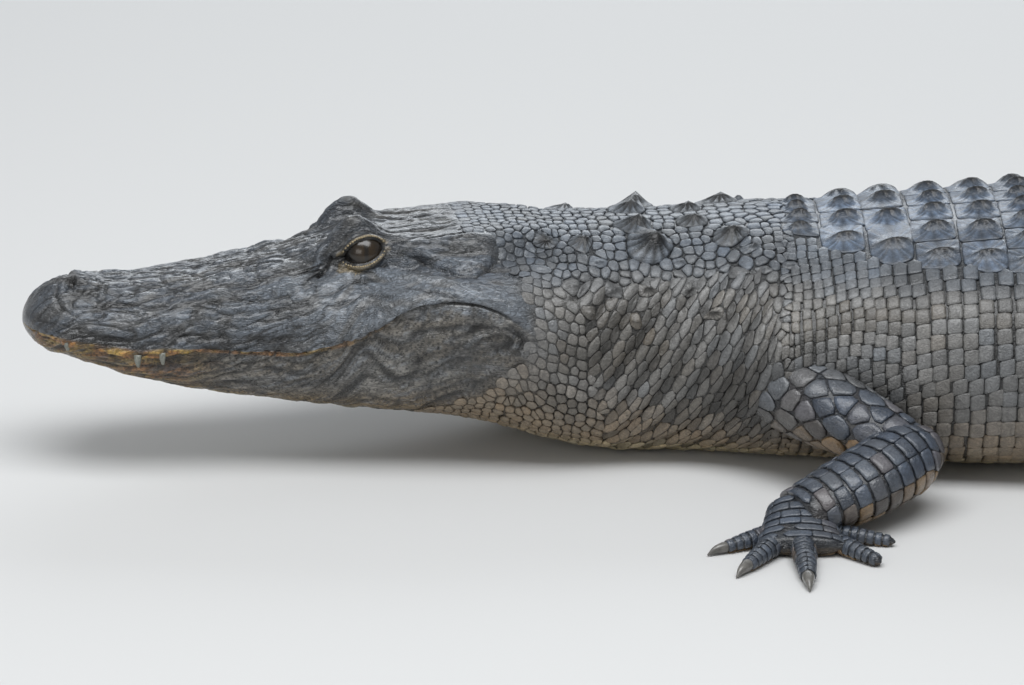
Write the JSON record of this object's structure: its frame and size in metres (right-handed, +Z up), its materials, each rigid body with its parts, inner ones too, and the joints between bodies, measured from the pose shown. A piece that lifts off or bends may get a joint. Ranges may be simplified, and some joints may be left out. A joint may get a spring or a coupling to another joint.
{
  "type": "american alligator, life-size still model",
  "caption": "Life-size still model of an adult alligator resting on its belly, jaws closed, head turned slightly left, legs splayed and tail in a slack bend.",
  "frame": {"origin": "middle of the footprint, on the floor", "axes": "+X from the snout towards the tail, +Y to the animal's right, +Z up"},
  "size_m": [2.7138, 0.971, 0.2053],
  "materials": {
    "hide": "wet, slightly glossy scales",
    "jaw_hide": "speckled, satin",
    "limb_hide": "wet, glossy plates",
    "eye": "wet gloss",
    "claw": "worn satin"
  },
  "bodies": {
    "root": {"eye_left": "eye", "eye_right": "eye", "head": "hide", "lower_jaw": "jaw_hide", "neck": "hide", "chest": "hide", "abdomen": "hide", "hips": "hide", "tail_1": "hide", "tail_2": "hide", "tail_3": "hide", "tail_4": "hide", "tail_5": "hide", "tail_6": "hide", "upper_arm_left": "limb_hide", "forearm_left": "limb_hide", "claw_hand_left_1": "claw", "claw_hand_left_2": "claw", "claw_hand_left_3": "claw", "hand_left": "limb_hide", "upper_arm_right": "limb_hide", "forearm_right": "limb_hide", "claw_hand_right_1": "claw", "claw_hand_right_2": "claw", "claw_hand_right_3": "claw", "hand_right": "limb_hide", "thigh_left": "limb_hide", "shank_left": "limb_hide", "claw_foot_left_1": "claw", "claw_foot_left_2": "claw", "claw_foot_left_3": "claw", "foot_left": "limb_hide", "thigh_right": "limb_hide", "shank_right": "limb_hide", "claw_foot_right_1": "claw", "claw_foot_right_2": "claw", "claw_foot_right_3": "claw", "foot_right": "limb_hide"}
  },
  "joints": []
}
